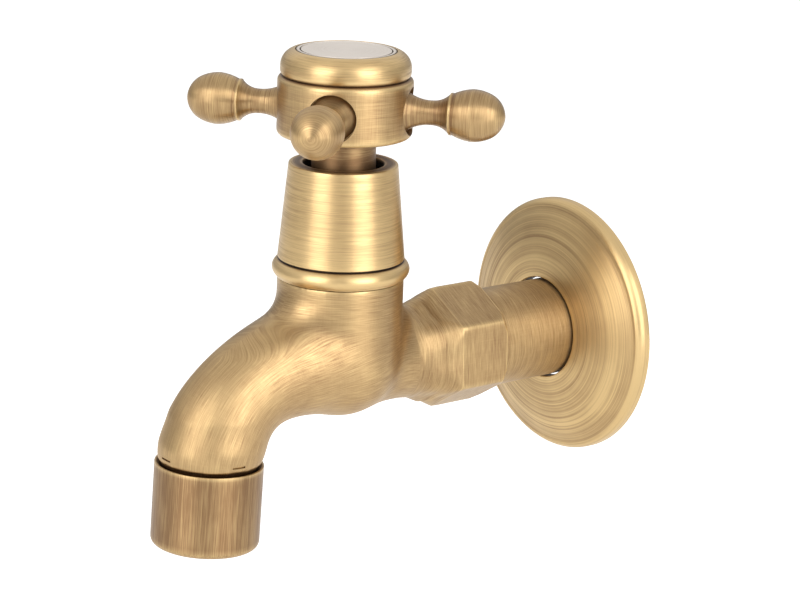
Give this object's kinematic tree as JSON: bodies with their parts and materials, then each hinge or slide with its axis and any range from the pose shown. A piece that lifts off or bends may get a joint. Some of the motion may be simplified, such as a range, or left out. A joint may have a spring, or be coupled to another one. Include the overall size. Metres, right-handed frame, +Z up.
{
  "type": "cross handle tap",
  "caption": "Wall-mounted brushed brass tap: hexagon inlet with a wall flange, conical bonnet, cross handle with egg-shaped arms and a down-turned spout.",
  "frame": {"origin": "on the axis of the inlet pipe, in the plane of the wall that the flange touches", "axes": "+Z up along the spindle, +Y into the wall along the inlet thread, the tap stands out towards -Y"},
  "size_m": [0.0594, 0.1255, 0.1059],
  "materials": {
    "brushed_brass": "brushed, lightly aged",
    "aged_brass": "brushed, darker with age",
    "satin_copper_brass": "satin",
    "plain_brass": "machined",
    "ceramic": "lapped, opaque",
    "rubber": "matt",
    "white_plastic": "matt",
    "steel": "satin"
  },
  "bodies": {
    "valve": {"valve_body": "brushed_brass", "bonnet": "brushed_brass", "headwork_body": "plain_brass", "gland_washer": "rubber", "seat_seal": "rubber", "fixed_disc_ceramic": "ceramic"},
    "handle": {"spindle": "plain_brass", "moving_disc_ceramic": "ceramic", "slip_ring": "white_plastic", "lower_seal_ring": "rubber", "upper_seal_ring": "rubber", "spindle_clip": "steel", "handle_boss": "aged_brass", "handle_hub": "brushed_brass", "arm_right": "brushed_brass", "arm_back": "brushed_brass", "arm_left": "brushed_brass", "arm_front": "brushed_brass", "screw_washer": "steel", "handle_screw": "steel", "cap_ring": "brushed_brass", "index_disc": "satin_copper_brass"},
    "flange": {"wall_flange": "brushed_brass"},
    "outlet_insert": {"outlet_washer": "rubber", "straightener_cage": "white_plastic", "flow_diffuser": "white_plastic", "mesh_screen": "steel"},
    "collar": {"outlet_collar": "aged_brass"}
  },
  "joints": [
    {"name": "handle_turn", "type": "hinge", "parent": "valve", "child": "handle", "pos_m": [0, -0.066, 0], "axis": [0, 0, 1], "range_deg": [0, 90]},
    {"name": "flange_slide", "type": "slide", "parent": "valve", "child": "flange", "axis": [0, -1, 0], "range_m": [0, 0.018]},
    {"name": "outlet_slide", "type": "slide", "parent": "valve", "child": "outlet_insert", "axis": [0, -0.0523, -0.9986], "range_m": [0, 0.004]},
    {"name": "collar_unscrew", "type": "hinge", "parent": "outlet_insert", "child": "collar", "pos_m": [0, -0.0998, -0.0164], "axis": [0, -0.0523, -0.9986], "range_deg": [0, 1440]}
  ],
  "couplings": [
    {"joint": "outlet_slide", "follows": "collar_unscrew", "m_per_rad": 0.000159}
  ]
}
